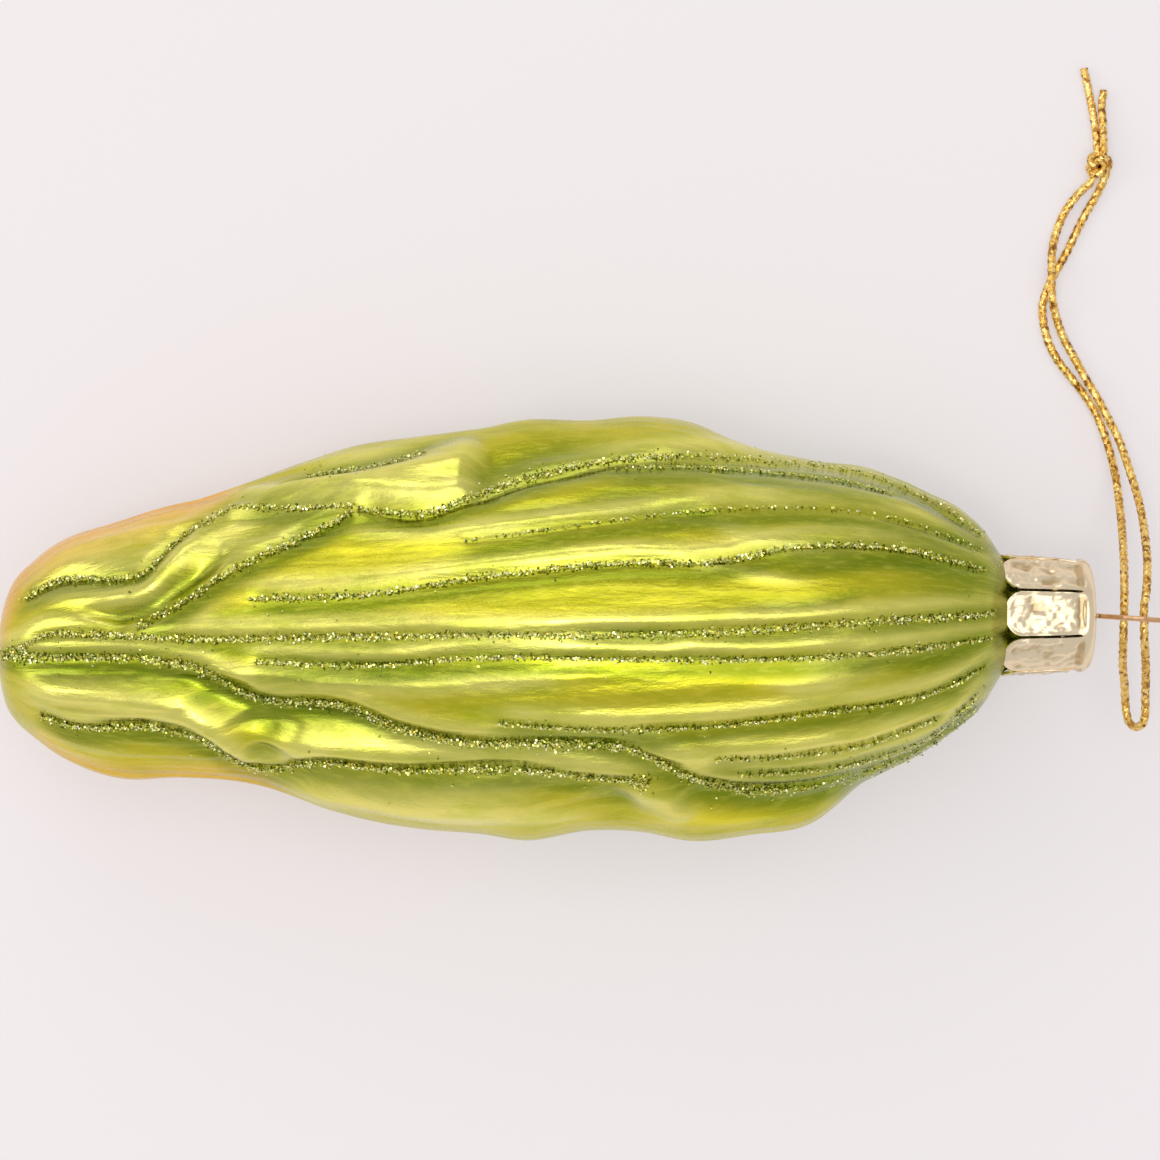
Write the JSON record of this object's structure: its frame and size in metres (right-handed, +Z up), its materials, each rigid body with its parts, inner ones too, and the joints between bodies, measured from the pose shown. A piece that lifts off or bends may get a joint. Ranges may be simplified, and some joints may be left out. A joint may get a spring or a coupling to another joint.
{
  "type": "glass corn cob ornament",
  "caption": "Blown glass corn cob ornament lying husk side up, with a stamped crown cap, a wire hanger and a knotted gold cord loop.",
  "frame": {"origin": "bottom centre of the ornament's footprint, without the cord", "axes": "+X from the cob's tip to the cap and wire, +Y to the side where the cord lies, +Z up out of the husk side"},
  "size_m": [0.1374, 0.092, 0.0406],
  "materials": {
    "lacquered_glass": "silvered inside, glossy green and yellow lacquer outside",
    "glitter": "glued metallic flakes",
    "stamped_cap": "pale gold lacquer on stamped tinplate",
    "spring_wire": "bright drawn wire",
    "metallic_cord": "twisted metallic thread"
  },
  "bodies": {
    "root": {"glass_cob": "lacquered_glass", "crown_cap": "stamped_cap", "hanger_wire": "spring_wire", "cord_strand_a": "metallic_cord", "cord_strand_b": "metallic_cord", "cord_tail_a": "metallic_cord", "cord_tail_b": "metallic_cord", "cord_knot": "metallic_cord", "glitter_midrib": "glitter", "glitter_branch": "glitter", "glitter_leaf_edge": "glitter", "glitter_rib_low": "glitter", "glitter_rib_high": "glitter", "glitter_rib_upper": "glitter", "glitter_rib_side": "glitter", "glitter_fold_edge": "glitter", "glitter_fold_inner": "glitter", "glitter_side_leaf": "glitter", "glitter_side_rib": "glitter", "glitter_low_leaf": "glitter", "glitter_rib_lower": "glitter", "glitter_rib_low_side": "glitter", "glitter_rib_low_edge": "glitter"}
  },
  "joints": []
}
